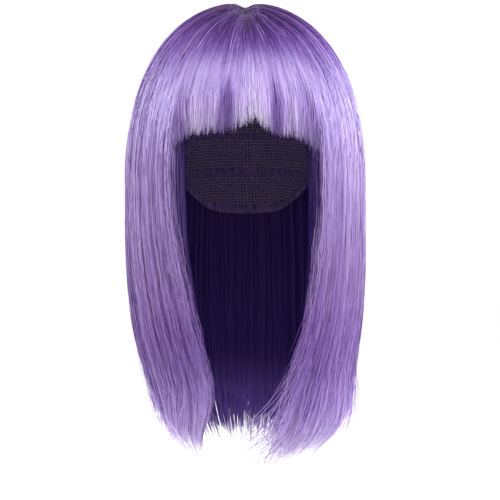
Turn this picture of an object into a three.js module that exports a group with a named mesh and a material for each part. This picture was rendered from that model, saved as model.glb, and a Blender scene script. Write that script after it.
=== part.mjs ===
// A straight bob wig with full bangs: a thin cap, a patch of false scalp at the parting, and the hair in four
// sections that hang from the parting. Millimetres, +Z up. The face opening looks along -Y, the wearer's left
// is +X, and the origin is the highest point of the cap's inside, where the wig sits on a head.
import * as THREE from "three";

// The head that the cap fits
const headBreadth = 150;
const headDepth = 188;
const crownToWidest = 138; // from the top of the head down to the level of its greatest breadth

// The cap
const capWall = 1.5;
const napeDrop = 166; // from the top of the head down to the cap's edge at the nape
const napeTuck = 0.25; // how fast the cap narrows below the widest level, per head depth

// The hair
const crownLoft = 10.5; // thickness of the hair over the top, sides, front and back of the cap
const sideLoft = 25.5;
const frontLoft = 15.5;
const backLoft = 16.5;
const fallLength = 240; // from the widest level down to the longest tips
const bangsLength = 130; // from the top of the hair down to the longest tip of the bangs
const faceWidth = 138; // the opening between the two curtains under the bangs
const sideToBack = THREE.MathUtils.degToRad(112); // bearing of the joint between side and back hair
const lockGroove = 3.2; // depth of the furrow between two locks
const lockNotch = 9; // height of the notch between the tips of two locks
const rootLoft = 1.6; // thickness of the hair at its roots
const rootRise = 11; // run over which it rises from the roots to its full thickness

// The parting
const partingLength = 56;
const partingWidth = 12;
const partingForward = 22; // from the middle of the head to the middle of the parting
const partingDip = 3; // furrow that carries the parting on over the crown
const partingDipWidth = 8;
const scalpWall = 1;

// Clearances
const seatGap = 1; // between the cap and the flats of the hair's inner face
const pieceGap = 0.4; // between neighbouring sections
const scalpGap = 0.4; // between the scalp patch and the cap

// Roundness of the head and the hair in plan and over the crown: 2 is an ellipse, more is squarer.
const roundness = 2.2;

// The hair below the widest level. Down is a share of fallLength. Left, right, front and back are shares of
// the hair's reach that way, wall is a share of its thickness, and the gap columns are shares of half of
// faceWidth.
const fallTable = [
  { down: 0.0, right: 1.0, left: 1.0, front: 1.0, back: 1.0, wall: 1.0, gapRight: 1.0, gapLeft: 1.0 },
  { down: 0.15, right: 1.0, left: 1.0, front: 0.99, back: 0.985, wall: 0.92, gapRight: 0.94, gapLeft: 0.99 },
  { down: 0.3, right: 0.993, left: 1.0, front: 0.975, back: 0.96, wall: 0.82, gapRight: 0.83, gapLeft: 0.94 },
  { down: 0.45, right: 0.965, left: 0.985, front: 0.95, back: 0.935, wall: 0.72, gapRight: 0.73, gapLeft: 0.875 },
  { down: 0.55, right: 0.93, left: 0.962, front: 0.93, back: 0.91, wall: 0.65, gapRight: 0.67, gapLeft: 0.82 },
  { down: 0.65, right: 0.865, left: 0.925, front: 0.9, back: 0.885, wall: 0.57, gapRight: 0.61, gapLeft: 0.74 },
  { down: 0.75, right: 0.77, left: 0.888, front: 0.85, back: 0.845, wall: 0.49, gapRight: 0.58, gapLeft: 0.64 },
  { down: 0.83, right: 0.67, left: 0.845, front: 0.795, back: 0.8, wall: 0.41, gapRight: 0.62, gapLeft: 0.56 },
  { down: 0.9, right: 0.565, left: 0.76, front: 0.73, back: 0.74, wall: 0.32, gapRight: 0.7, gapLeft: 0.5 },
  { down: 0.96, right: 0.46, left: 0.61, front: 0.66, back: 0.67, wall: 0.22, gapRight: 0.76, gapLeft: 0.46 },
  { down: 1.0, right: 0.38, left: 0.5, front: 0.6, back: 0.61, wall: 0.14, gapRight: 0.78, gapLeft: 0.44 },
];

// The lower edge of the bangs. Across runs from -1 at the wearer's right to 1 at the left, and reach is a
// share of bangsLength.
const bangsTable = [
  { across: -1.0, reach: 0.93 },
  { across: -0.85, reach: 0.885 },
  { across: -0.5, reach: 0.855 },
  { across: -0.15, reach: 0.84 },
  { across: 0.08, reach: 0.79 },
  { across: 0.3, reach: 0.865 },
  { across: 0.6, reach: 0.885 },
  { across: 0.8, reach: 0.92 },
  { across: 1.0, reach: 1.0 },
];

// The cap's edge. Bearing is in degrees from the front, the same on both sides, and drop is a share of
// napeDrop.
const capEdgeTable = [
  { bearing: 0, drop: 0.35 },
  { bearing: 40, drop: 0.43 },
  { bearing: 75, drop: 0.71 },
  { bearing: 100, drop: 0.67 },
  { bearing: 125, drop: 0.79 },
  { bearing: 155, drop: 0.97 },
  { bearing: 180, drop: 1.0 },
];

// The hair sections that hang below the widest level. Tips are shares of fallLength at the section's two ends.
const curtains = [
  { name: "left_side_hair", from: "faceLeft", to: "backLeft", locks: 7, tipsFrom: 1.0, tipsTo: 0.97 },
  { name: "back_hair", from: "backLeft", to: "backRight", locks: 10, tipsFrom: 0.97, tipsTo: 0.955 },
  { name: "right_side_hair", from: "backRight", to: "faceRight", locks: 7, tipsFrom: 0.955, tipsTo: 0.965 },
];
const bangsLocks = 9;
const columnsPerLock = 4;

// Steps down a lock, as shares of its way over the dome and of its fall
const domeSteps = [0, 0.045, 0.11, 0.21, 0.32, 0.44, 0.56, 0.68, 0.79, 0.9, 1];
const fallSteps = [0.13, 0.26, 0.39, 0.51, 0.62, 0.72, 0.82, 0.91, 1];
const capSteps = [0, 0.1, 0.22, 0.34, 0.46, 0.58, 0.7, 0.8, 0.9, 1];
const capColumns = 40;
const scalpColumns = 20;

// How the locks lie, as shares
const furrowSharpness = 3; // 1 is a soft wave, more is a narrow furrow between full locks
const lowLocks = 0.5; // how far the lowest lock lies below its neighbours, of lockGroove
const lowTurn = 2.4; // turn between one lock's lie and the next one's, in radians
const deepestGroove = 0.45; // of the wall's thickness
const grooveOpens = [0.1, 0.6]; // stretch of the dome over which the furrows open
const notchSharpness = 6; // how late on the fall the notches between the tips open
const bangsNotch = 0.5; // of lockNotch

// A curtain's edge along the face is thinner than the rest of it.
const edgeWall = 0.22; // of its thickness beside the ear
const edgeZone = 0.4; // of the curtain's breadth
const edgeThins = [0.6, 0.87]; // stretch of the dome over which the thin edge begins

// The bangs thin out towards their tips and lie closer to the forehead there.
const bangsTuckStart = 0.6; // of their length
const bangsTuckOuter = 0.3; // of their thickness
const bangsTuckInner = 0.4;

const halfPi = Math.PI / 2;
const fullTurn = 2 * Math.PI;
const { lerp, clamp, smoothstep, radToDeg } = THREE.MathUtils;

// Half sizes of a dome at a distance out from the head, at its widest level, and its rise over that level.
function headShell(offset) {
  return {
    left: headBreadth / 2 + offset,
    right: headBreadth / 2 + offset,
    front: headDepth / 2 + offset,
    back: headDepth / 2 + offset,
    rise: crownToWidest + offset,
  };
}

// The hair's inner and outer faces
const inside = headShell(capWall + seatGap);
const outside = {
  left: inside.left + sideLoft,
  right: inside.right + sideLoft,
  front: inside.front + frontLoft,
  back: inside.back + backLoft,
  rise: inside.rise + crownLoft,
};
const openShare = faceWidth / (outside.left + outside.right);

const signedPower = (value, exponent) => Math.sign(value) * Math.abs(value) ** exponent;

// Reads a column of a table at a place, with a smooth curve through its rows.
function readTable(table, key, column, at) {
  const last = table.length - 1;
  let i = 0;
  while (i < last - 1 && at > table[i + 1][key]) i += 1;
  const slope = (k) => {
    const before = table[Math.max(k - 1, 0)];
    const after = table[Math.min(k + 1, last)];
    return (after[column] - before[column]) / (after[key] - before[key]);
  };
  const [a, b] = [table[i], table[i + 1]];
  const width = b[key] - a[key];
  const t = clamp((at - a[key]) / width, 0, 1);
  const [t2, t3] = [t * t, t * t * t];
  return (
    (2 * t3 - 3 * t2 + 1) * a[column] +
    (t3 - 2 * t2 + t) * width * slope(i) +
    (3 * t2 - 2 * t3) * b[column] +
    (t3 - t2) * width * slope(i + 1)
  );
}

const fall = (column, down) => readTable(fallTable, "down", column, down);

// Half sizes of the hair's outer face, depth 0, or its inner face, depth 1, at a share of the fall.
function reachAt(down, depth) {
  const wall = fall("wall", down) * depth;
  const reach = {};
  for (const way of ["left", "right", "front", "back"])
    reach[way] = outside[way] * fall(way, down) - (outside[way] - inside[way]) * wall;
  return reach;
}

// Point in plan on an outline of given half sizes. Bearing 0 faces front and a quarter turn faces +X.
function outlinePoint(bearing, reach) {
  const across = signedPower(Math.sin(bearing), 2 / roundness);
  const ahead = signedPower(Math.cos(bearing), 2 / roundness);
  return new THREE.Vector2(
    across * (across > 0 ? reach.left : reach.right),
    -ahead * (ahead > 0 ? reach.front : reach.back),
  );
}

// Height of a dome over a point in plan. Its rim is at the widest level.
function domeHeight(plan, shell) {
  const acrossReach = plan.x > 0 ? shell.left : shell.right;
  const alongReach = plan.y > 0 ? shell.back : shell.front;
  const spread =
    Math.abs(plan.x / acrossReach) ** roundness + Math.abs(plan.y / alongReach) ** roundness;
  return shell.rise * Math.max(1 - spread, 0) ** (1 / roundness) - crownToWidest;
}

// Plan of the parting's rim, where the roots of the hair begin.
function rootPoint(bearing, inset = 0) {
  const half = {
    left: partingWidth / 2 - inset,
    right: partingWidth / 2 - inset,
    front: partingLength / 2 - inset,
    back: partingLength / 2 - inset,
  };
  return outlinePoint(bearing, half).add(new THREE.Vector2(0, -partingForward));
}

// Point on a strand's way over the dome, from the parting, share 0, to the widest level, share 1.
function domePoint(bearing, share, shell) {
  const root = rootPoint(bearing);
  const edge = outlinePoint(bearing, shell);
  const rootSpread = partingWidth / 2 / shell.left;
  const rootAngle = Math.asin(rootSpread ** (roundness / 2));
  const spread = Math.sin(lerp(rootAngle, halfPi, share)) ** (2 / roundness);
  const plan = root.clone().lerp(edge, (spread - rootSpread) / (1 - rootSpread));
  return { plan, run: plan.distanceTo(root), z: domeHeight(plan, shell) };
}

// Point in the hair's thickness. Along is 0 at the roots, 1 at the widest level and 2 at the longest tips, and
// depth is 0 on the outer face and 1 on the inner face.
function hairPoint(bearing, along, depth) {
  if (along > 1) {
    const plan = outlinePoint(bearing, reachAt(along - 1, depth));
    return new THREE.Vector3(plan.x, plan.y, -crownToWidest - fallLength * (along - 1));
  }
  const top = domePoint(bearing, along, outside);
  const under = domePoint(bearing, along, inside);
  const dip = partingDip * Math.exp(-((top.plan.x / partingDipWidth) ** 2)) * (1 - along);
  const outer = new THREE.Vector3(top.plan.x, top.plan.y, top.z - dip);
  const inner = new THREE.Vector3(under.plan.x, under.plan.y, under.z);
  const full = lerp(rootLoft / crownLoft, 1, smoothstep(top.run, 0, rootRise));
  return outer.lerp(inner, 1 - (1 - depth) * full);
}

// Bearing of a curtain's edge, at a share of the fall. The face edges close in towards the tips.
function edgeBearing(edge, down) {
  if (edge === "backLeft") return sideToBack;
  if (edge === "backRight") return fullTurn - sideToBack;
  if (edge === "faceLeft") return Math.asin((openShare * fall("gapLeft", down)) ** (roundness / 2));
  return fullTurn - Math.asin((openShare * fall("gapRight", down)) ** (roundness / 2));
}

// Moves a bearing along the hair by a distance in millimetres.
function shiftBearing(bearing, along, distance) {
  const step = 0.01;
  const run = hairPoint(bearing + step, along, 0.5).distanceTo(hairPoint(bearing - step, along, 0.5));
  return bearing + (distance * 2 * step) / run;
}

// How deep a column lies in the furrow between two locks: 0 on a lock's ridge and 1 in the furrow.
function furrow(column) {
  return Math.abs(Math.cos((Math.PI * column) / columnsPerLock)) ** furrowSharpness;
}

// How far a lock lies below its neighbours, 0 to 1. It differs from lock to lock, and is 0 at furrows.
function lockLow(column) {
  const lock = Math.floor(column / columnsPerLock);
  return ((1 + Math.sin(lowTurn * (lock + halfPi))) / 2) * (1 - furrow(column));
}

// The two points of the wall at one place: the outer one grooved between the locks, the inner one plain.
function wallPoints(bearing, along, column, thin) {
  const outer = hairPoint(bearing, along, 0);
  const inner = hairPoint(bearing, along, 1);
  const thickness = outer.distanceTo(inner);
  const groove = lockGroove * (furrow(column) + lowLocks * lockLow(column));
  const opened = smoothstep(along, ...grooveOpens) * lerp(1, edgeWall, thin);
  const sink = Math.min(groove / thickness, deepestGroove) * opened;
  return { outer: outer.clone().lerp(inner, sink), inner: outer.clone().lerp(inner, lerp(1, edgeWall, thin)) };
}

// Triangles of a closed wall between two grids of points, each a list of rows from the top down, with the
// columns in the order of their bearings. A ring joins its last column to its first.
function wallGeometry(outer, inner, ring = false) {
  const points = [];
  const triangle = (...corners) => {
    const [a, b, c] = corners;
    const tiny = 1e-5;
    if (a.distanceTo(b) > tiny && b.distanceTo(c) > tiny && c.distanceTo(a) > tiny) points.push(...corners);
  };
  const quad = (a, b, c, d) => {
    triangle(a, b, c);
    triangle(a, c, d);
  };
  const rows = outer.length - 1;
  const columns = outer[0].length;
  const spans = ring ? columns : columns - 1;
  for (let i = 0; i < rows; i += 1)
    for (let j = 0; j < spans; j += 1) {
      const k = (j + 1) % columns;
      quad(outer[i][j], outer[i + 1][j], outer[i + 1][k], outer[i][k]);
      quad(inner[i][j], inner[i][k], inner[i + 1][k], inner[i + 1][j]);
    }
  for (let j = 0; j < spans; j += 1) {
    const k = (j + 1) % columns;
    quad(outer[0][j], outer[0][k], inner[0][k], inner[0][j]);
    quad(outer[rows][k], outer[rows][j], inner[rows][j], inner[rows][k]);
  }
  if (!ring)
    for (let i = 0; i < rows; i += 1) {
      const end = columns - 1;
      quad(outer[i][0], inner[i][0], inner[i + 1][0], outer[i + 1][0]);
      quad(outer[i][end], outer[i + 1][end], inner[i + 1][end], inner[i][end]);
    }
  return new THREE.BufferGeometry().setFromPoints(points);
}

function hairMesh(name, outer, inner, colour) {
  const material = new THREE.MeshStandardMaterial({ color: colour, roughness: 0.42, metalness: 0 });
  const mesh = new THREE.Mesh(wallGeometry(outer, inner), material);
  mesh.name = name;
  return mesh;
}

// How near a place across a curtain is to its edge along the face, from 0 to 1 at the edge itself.
function nearFace(from, to, across) {
  if (from === "faceLeft") return 1 - smoothstep(across, 0, edgeZone);
  if (to === "faceRight") return 1 - smoothstep(1 - across, 0, edgeZone);
  return 0;
}

// A curtain of locks from the parting to the tips.
function curtainMesh({ name, from, to, locks, tipsFrom, tipsTo }) {
  const columns = locks * columnsPerLock;
  const alongs = [...domeSteps, ...fallSteps.map((share) => 1 + share)];
  const outerGrid = [];
  const innerGrid = [];
  for (const along of alongs) {
    const outerRow = [];
    const innerRow = [];
    for (let column = 0; column <= columns; column += 1) {
      const across = column / columns;
      const share = Math.max(along - 1, 0);
      const notch = (lockNotch / fallLength) * furrow(column) * share ** notchSharpness;
      const down = share * lerp(tipsFrom, tipsTo, across) - notch;
      const place = along > 1 ? 1 + down : along;
      let bearing = lerp(edgeBearing(from, down), edgeBearing(to, down), across);
      if (column === 0) bearing = shiftBearing(bearing, place, pieceGap / 2);
      if (column === columns) bearing = shiftBearing(bearing, place, -pieceGap / 2);
      const thin = nearFace(from, to, across) * smoothstep(along, ...edgeThins);
      const points = wallPoints(bearing, place, column, thin);
      outerRow.push(points.outer);
      innerRow.push(points.inner);
    }
    outerGrid.push(outerRow);
    innerGrid.push(innerRow);
  }
  return hairMesh(name, outerGrid, innerGrid, "#9c7fcb");
}

// Share of the dome at which a strand passes a given height.
function shareAtHeight(bearing, height) {
  let [low, high] = [0, 1];
  while (high - low > 1e-4) {
    const middle = (low + high) / 2;
    if (domePoint(bearing, middle, outside).z > height) low = middle;
    else high = middle;
  }
  return low;
}

// The bangs: locks from the parting over the forehead to the brows, thinner and closer to it at the tips.
function bangsMesh() {
  const columns = bangsLocks * columnsPerLock;
  const [from, to] = [edgeBearing("faceRight", 0) - fullTurn, edgeBearing("faceLeft", 0)];
  const top = outside.rise - crownToWidest;
  const outerGrid = domeSteps.map(() => []);
  const innerGrid = domeSteps.map(() => []);
  for (let column = 0; column <= columns; column += 1) {
    const middle = lerp(from, to, column / columns);
    const reach = readTable(bangsTable, "across", "reach", (2 * column) / columns - 1) * bangsLength;
    const tip = shareAtHeight(middle, top - reach + bangsNotch * lockNotch * furrow(column));
    domeSteps.forEach((step, i) => {
      const along = tip * step;
      let bearing = middle;
      if (column === 0) bearing = shiftBearing(bearing, along, pieceGap / 2);
      if (column === columns) bearing = shiftBearing(bearing, along, -pieceGap / 2);
      const points = wallPoints(bearing, along, column, 0);
      const tuck = smoothstep(step, bangsTuckStart, 1);
      outerGrid[i].push(points.outer.clone().lerp(points.inner, bangsTuckOuter * tuck));
      innerGrid[i].push(points.inner.clone().lerp(points.outer, bangsTuckInner * tuck));
    });
  }
  return hairMesh("bangs", outerGrid, innerGrid, "#a88ad6");
}

// Point on the cap, at a height below the top of the head and a distance out from the head's own face.
function capPoint(bearing, height, offset) {
  const shell = headShell(offset);
  const above = clamp((height + crownToWidest) / crownToWidest, 0, 1);
  const spread = (1 - above ** roundness) ** (1 / roundness);
  const below = Math.max(-crownToWidest - height, 0);
  const plan = outlinePoint(bearing, shell).multiplyScalar(spread * (1 - (napeTuck * below) / headDepth));
  return new THREE.Vector3(plan.x, plan.y, below > 0 ? height : domeHeight(plan, shell));
}

// The cap: a thin dome open below, low at the nape and cut back round the ears and the face.
function capMesh() {
  const outerGrid = capSteps.map(() => []);
  const innerGrid = capSteps.map(() => []);
  for (let column = 0; column < capColumns; column += 1) {
    const bearing = (column / capColumns) * fullTurn;
    const turned = radToDeg(Math.acos(Math.cos(bearing)));
    const edge = -napeDrop * readTable(capEdgeTable, "bearing", "drop", turned);
    capSteps.forEach((step, i) => {
      const height = edge * (1 - Math.cos(step * halfPi));
      outerGrid[i].push(capPoint(bearing, height, capWall));
      innerGrid[i].push(capPoint(bearing, height, 0));
    });
  }
  const mesh = new THREE.Mesh(
    wallGeometry(outerGrid, innerGrid, true),
    new THREE.MeshStandardMaterial({ color: "#2c1c44", roughness: 0.85, metalness: 0 }),
  );
  mesh.name = "wig_cap";
  return mesh;
}

// The patch of false scalp that shows in the parting. It lies on the cap, inside the roots of the hair.
function scalpMesh() {
  const rings = [0, 0.4, 0.75, 1];
  const grid = (offset) =>
    rings.map((ring) =>
      Array.from({ length: scalpColumns }, (_, column) => {
        const bearing = (column / scalpColumns) * fullTurn;
        const middle = new THREE.Vector2(0, -partingForward);
        const plan = middle.lerp(rootPoint(bearing, pieceGap), ring);
        return new THREE.Vector3(plan.x, plan.y, domeHeight(plan, headShell(offset)));
      }),
    );
  const base = capWall + scalpGap;
  const mesh = new THREE.Mesh(
    wallGeometry(grid(base + scalpWall), grid(base), true),
    new THREE.MeshStandardMaterial({ color: "#8f7f95", roughness: 0.7, metalness: 0 }),
  );
  mesh.name = "skin_top";
  return mesh;
}

const foundation = new THREE.Group();
foundation.add(capMesh(), scalpMesh());

const hair = new THREE.Group();
hair.add(bangsMesh(), ...curtains.map(curtainMesh));

const wig = new THREE.Group();
wig.add(foundation, hair);

export default wig;
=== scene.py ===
# A straight lilac bob wig with full bangs, made of synthetic fibre on a thin net cap.
# Sizes in the tables and functions are millimetres, and every mesh is written in metres.
import math

import bpy
import numpy as np
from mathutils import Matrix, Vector


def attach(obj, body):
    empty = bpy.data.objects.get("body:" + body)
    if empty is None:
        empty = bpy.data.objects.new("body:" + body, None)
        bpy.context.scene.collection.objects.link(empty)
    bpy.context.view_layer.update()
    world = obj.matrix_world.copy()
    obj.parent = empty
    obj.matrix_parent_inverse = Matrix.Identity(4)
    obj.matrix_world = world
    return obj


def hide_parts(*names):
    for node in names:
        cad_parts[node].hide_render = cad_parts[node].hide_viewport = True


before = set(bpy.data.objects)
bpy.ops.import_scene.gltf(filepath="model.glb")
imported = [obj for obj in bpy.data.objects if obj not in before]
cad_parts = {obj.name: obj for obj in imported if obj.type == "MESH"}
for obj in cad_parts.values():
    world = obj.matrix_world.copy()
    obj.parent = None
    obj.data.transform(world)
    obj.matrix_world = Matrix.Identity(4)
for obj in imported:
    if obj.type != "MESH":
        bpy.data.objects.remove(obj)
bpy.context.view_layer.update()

MM = 0.001

# The room inside the cap, and the cap
HEAD_BREADTH = 150
HEAD_DEPTH = 188
CROWN_TO_WIDEST = 138
CAP_WALL = 1.5
NAPE_DROP = 166
NAPE_TUCK = 0.25

# The hair over the cap, and its fall
SEAT_GAP = 1
CROWN_LOFT = 10.5
SIDE_LOFT = 25.5
FRONT_LOFT = 15.5
BACK_LOFT = 16.5
FALL_LENGTH = 240
BANGS_LENGTH = 130
FACE_WIDTH = 138
SIDE_TO_BACK = math.radians(112)
ROOT_LOFT = 7
ROOT_RISE = 9

# The parting
PARTING_LENGTH = 56
PARTING_WIDTH = 12
PARTING_FORWARD = 22
PARTING_DIP = 1.5
PARTING_DIP_WIDTH = 8

ROUNDNESS = 2.2

# The hair below the widest level, as shares: see the names in FALL_COLUMNS.
FALL_COLUMNS = ("down", "right", "left", "front", "back", "wall", "gap_right", "gap_left")
FALL_ROWS = (
    (0.0, 1.0, 1.0, 1.0, 1.0, 1.0, 0.945, 0.985),
    (0.15, 1.0, 1.0, 0.99, 0.985, 0.92, 0.91, 0.975),
    (0.3, 0.993, 1.0, 0.975, 0.96, 0.82, 0.83, 0.925),
    (0.45, 0.965, 0.985, 0.95, 0.935, 0.72, 0.73, 0.875),
    (0.55, 0.93, 0.962, 0.93, 0.91, 0.65, 0.67, 0.82),
    (0.65, 0.865, 0.925, 0.9, 0.885, 0.57, 0.61, 0.74),
    (0.75, 0.77, 0.888, 0.85, 0.845, 0.49, 0.6, 0.64),
    (0.83, 0.67, 0.845, 0.795, 0.8, 0.41, 0.74, 0.56),
    (0.9, 0.565, 0.76, 0.73, 0.74, 0.32, 0.97, 0.5),
    (0.96, 0.46, 0.61, 0.66, 0.67, 0.22, 1.14, 0.46),
    (1.0, 0.38, 0.5, 0.6, 0.61, 0.14, 1.4, 0.44),
)

# The lower edge of the bangs: across from the wearer's right, -1, to the left, 1, and reach of BANGS_LENGTH
BANGS_ROWS = (
    (-1.0, 0.93),
    (-0.85, 0.885),
    (-0.5, 0.855),
    (-0.15, 0.84),
    (0.08, 0.79),
    (0.3, 0.865),
    (0.6, 0.885),
    (0.8, 0.92),
    (1.0, 1.0),
)

# The cap's edge: bearing in degrees from the front, and drop of NAPE_DROP
CAP_EDGE_ROWS = ((0, 0.35), (40, 0.43), (75, 0.71), (100, 0.67), (125, 0.79), (155, 0.97), (180, 1.0))


# Reading the tables

def read_table(rows, column, at):
    """Reads a column of a table with a smooth curve through its rows."""
    keys = np.array([row[0] for row in rows], float)
    values = np.array([row[column] for row in rows], float)
    slopes = np.gradient(values, keys)
    slopes[1:-1] = (values[2:] - values[:-2]) / (keys[2:] - keys[:-2])
    at = np.asarray(at, float)
    i = np.clip(np.searchsorted(keys, at, side="right") - 1, 0, len(keys) - 2)
    width = keys[i + 1] - keys[i]
    t = np.clip((at - keys[i]) / width, 0, 1)
    t2, t3 = t * t, t * t * t
    start = (2 * t3 - 3 * t2 + 1) * values[i] + (t3 - 2 * t2 + t) * width * slopes[i]
    return start + (3 * t2 - 2 * t3) * values[i + 1] + (t3 - t2) * width * slopes[i + 1]


def fall(column, down):
    return read_table(FALL_ROWS, FALL_COLUMNS.index(column), down)


def smooth(value, low, high):
    t = np.clip((value - low) / (high - low), 0, 1)
    return t * t * (3 - 2 * t)


def mix(a, b, share):
    return a + (b - a) * share


# Where the hair lies

def head_shell(offset):
    """Half sizes of a dome at a distance out from the cap's room, and its rise over the widest level."""
    side, end = HEAD_BREADTH / 2 + offset, HEAD_DEPTH / 2 + offset
    return {"left": side, "right": side, "front": end, "back": end, "rise": CROWN_TO_WIDEST + offset}


INSIDE = head_shell(CAP_WALL + SEAT_GAP)
OUTSIDE = {
    "left": INSIDE["left"] + SIDE_LOFT,
    "right": INSIDE["right"] + SIDE_LOFT,
    "front": INSIDE["front"] + FRONT_LOFT,
    "back": INSIDE["back"] + BACK_LOFT,
    "rise": INSIDE["rise"] + CROWN_LOFT,
}
OPEN_SHARE = FACE_WIDTH / (OUTSIDE["left"] + OUTSIDE["right"])


def signed_power(value, exponent):
    return np.sign(value) * np.abs(value) ** exponent


def outline(bearing, reach):
    """Plan point on an outline of given half sizes. Bearing 0 faces front, and a quarter turn faces +X."""
    across = signed_power(np.sin(bearing), 2 / ROUNDNESS)
    ahead = signed_power(np.cos(bearing), 2 / ROUNDNESS)
    x = across * np.where(across > 0, reach["left"], reach["right"])
    y = -ahead * np.where(ahead > 0, reach["front"], reach["back"])
    return x, y


def dome_height(x, y, shell):
    across = np.abs(x / np.where(x > 0, shell["left"], shell["right"])) ** ROUNDNESS
    ahead = np.abs(y / np.where(y > 0, shell["back"], shell["front"])) ** ROUNDNESS
    return shell["rise"] * np.maximum(1 - across - ahead, 0) ** (1 / ROUNDNESS) - CROWN_TO_WIDEST


def root_point(bearing, inset=0.0):
    """Plan of the parting's rim, where the roots of the hair begin."""
    side, end = PARTING_WIDTH / 2 - inset, PARTING_LENGTH / 2 - inset
    x, y = outline(bearing, {"left": side, "right": side, "front": end, "back": end})
    return x, y - PARTING_FORWARD


def dome_point(bearing, share, shell, inset=0.0):
    """A strand's way over the dome, from the parting at share 0 to the widest level at share 1."""
    root_x, root_y = root_point(bearing, inset)
    edge_x, edge_y = outline(bearing, shell)
    root_spread = PARTING_WIDTH / 2 / shell["left"]
    root_angle = math.asin(root_spread ** (ROUNDNESS / 2))
    spread = np.sin(mix(root_angle, math.pi / 2, share)) ** (2 / ROUNDNESS)
    way = (spread - root_spread) / (1 - root_spread)
    x, y = mix(root_x, edge_x, way), mix(root_y, edge_y, way)
    return x, y, dome_height(x, y, shell), np.hypot(x - root_x, y - root_y)


def hair_point(bearing, along, depth, inset=0.0):
    """Point in the hair: along is 0 at the roots, 1 at the widest level and 2 at the longest tips, and
    depth is 0 on the outer face and 1 on the inner face."""
    bearing, along, depth, inset = np.broadcast_arrays(bearing, along, depth, inset)
    down = np.maximum(along - 1, 0)
    wall = fall("wall", down) * depth
    reach = {
        way: OUTSIDE[way] * fall(way, down) - (OUTSIDE[way] - INSIDE[way]) * wall
        for way in ("left", "right", "front", "back")
    }
    low_x, low_y = outline(bearing, reach)
    share = np.minimum(along, 1)
    top_x, top_y, top_z, run = dome_point(bearing, share, OUTSIDE, inset)
    under_x, under_y, under_z, _ = dome_point(bearing, share, INSIDE, inset)
    top_z = top_z - PARTING_DIP * np.exp(-((top_x / PARTING_DIP_WIDTH) ** 2)) * (1 - share)
    full = mix(ROOT_LOFT / CROWN_LOFT, 1, smooth(run, 0, ROOT_RISE))
    sunk = 1 - (1 - depth) * full
    fallen = along > 1
    x = np.where(fallen, low_x, mix(top_x, under_x, sunk))
    y = np.where(fallen, low_y, mix(top_y, under_y, sunk))
    z = np.where(fallen, -CROWN_TO_WIDEST - FALL_LENGTH * down, mix(top_z, under_z, sunk))
    return np.stack([x, y, z], axis=-1)


def face_bearing(side, down):
    """Bearing of a curtain's edge at the front opening, which closes in towards the tips."""
    return np.arcsin((OPEN_SHARE * fall("gap_" + side, down)) ** (ROUNDNESS / 2))


def section_bearing(section, across, down):
    """Bearing at a share across a section of the hair, in the order of growing bearings."""
    turn = 2 * math.pi
    if section == "bangs":
        return mix(-face_bearing("right", 0.0), face_bearing("left", 0.0), across)
    if section == "left":
        return mix(face_bearing("left", down), SIDE_TO_BACK, across)
    if section == "right":
        return mix(turn - SIDE_TO_BACK, turn - face_bearing("right", down), across)
    return mix(SIDE_TO_BACK, turn - SIDE_TO_BACK, across)


def share_at_height(bearing, height):
    """Share of the dome at which a strand passes a height."""
    low, high = np.zeros_like(bearing), np.ones_like(bearing)
    for _ in range(16):
        middle = (low + high) / 2
        above = dome_point(bearing, middle, OUTSIDE)[2] > height
        low, high = np.where(above, middle, low), np.where(above, high, middle)
    return low


# Small tools for meshes and materials

def linear(hex_colour):
    """An sRGB hex value as linear RGBA."""
    parts = [int(hex_colour[i:i + 2], 16) / 255 for i in (1, 3, 5)]
    curve = [c / 12.92 if c <= 0.04045 else ((c + 0.055) / 1.055) ** 2.4 for c in parts]
    return (*curve, 1.0)


def add_node(tree, kind, inputs=None, **settings):
    """Adds a node with its settings. An input is a value, or a socket to link from."""
    node = tree.nodes.new(kind)
    for name, value in settings.items():
        setattr(node, name, value)
    for key, value in (inputs or {}).items():
        if isinstance(value, bpy.types.NodeSocket):
            tree.links.new(value, node.inputs[key])
        else:
            node.inputs[key].default_value = value
    return node


def new_material(name):
    material = bpy.data.materials.new(name)
    material.use_nodes = True
    tree = material.node_tree
    return material, tree, tree.nodes["Principled BSDF"]


def colour_ramp(tree, value, stops):
    node = add_node(tree, "ShaderNodeValToRGB", {"Fac": value})
    elements = node.color_ramp.elements
    while len(elements) < len(stops):
        elements.new(1.0)
    for element, (position, colour) in zip(elements, stops):
        element.position = position
        element.color = linear(colour)
    return node.outputs["Color"]


def mix_colours(tree, share, first, second):
    given = {"Factor": share, 6: first, 7: second}
    return add_node(tree, "ShaderNodeMix", given, data_type="RGBA").outputs[2]


def arithmetic(tree, first, second, operation="ADD"):
    return add_node(tree, "ShaderNodeMath", {0: first, 1: second}, operation=operation).outputs[0]


def span(tree, value, low=0.0, high=1.0, first=0.0, last=1.0):
    """Maps a value's way from low to high onto the way from first to last."""
    given = {"Value": value, "From Min": low, "From Max": high, "To Min": first, "To Max": last}
    return add_node(tree, "ShaderNodeMapRange", given).outputs[0]


def noise(tree, spot, scale, detail, **settings):
    given = {"Vector": spot, "Scale": scale, "Detail": detail}
    return add_node(tree, "ShaderNodeTexNoise", given, **settings).outputs["Fac"]


def streaks_map(tree, spot, across, along):
    """A map whose cells are as many to the unit as across and along say."""
    return add_node(tree, "ShaderNodeMapping", {"Vector": spot, "Scale": (across, along, 1.0)}).outputs[0]


def raise_surface(tree, shader, height, strength, distance, invert=False):
    """Raises the surface by a height of 0 to 1, where 1 is a distance in metres."""
    given = {"Height": height, "Strength": strength, "Distance": distance}
    bump = add_node(tree, "ShaderNodeBump", given, invert=invert)
    tree.links.new(bump.outputs[0], shader.inputs["Normal"])


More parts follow.
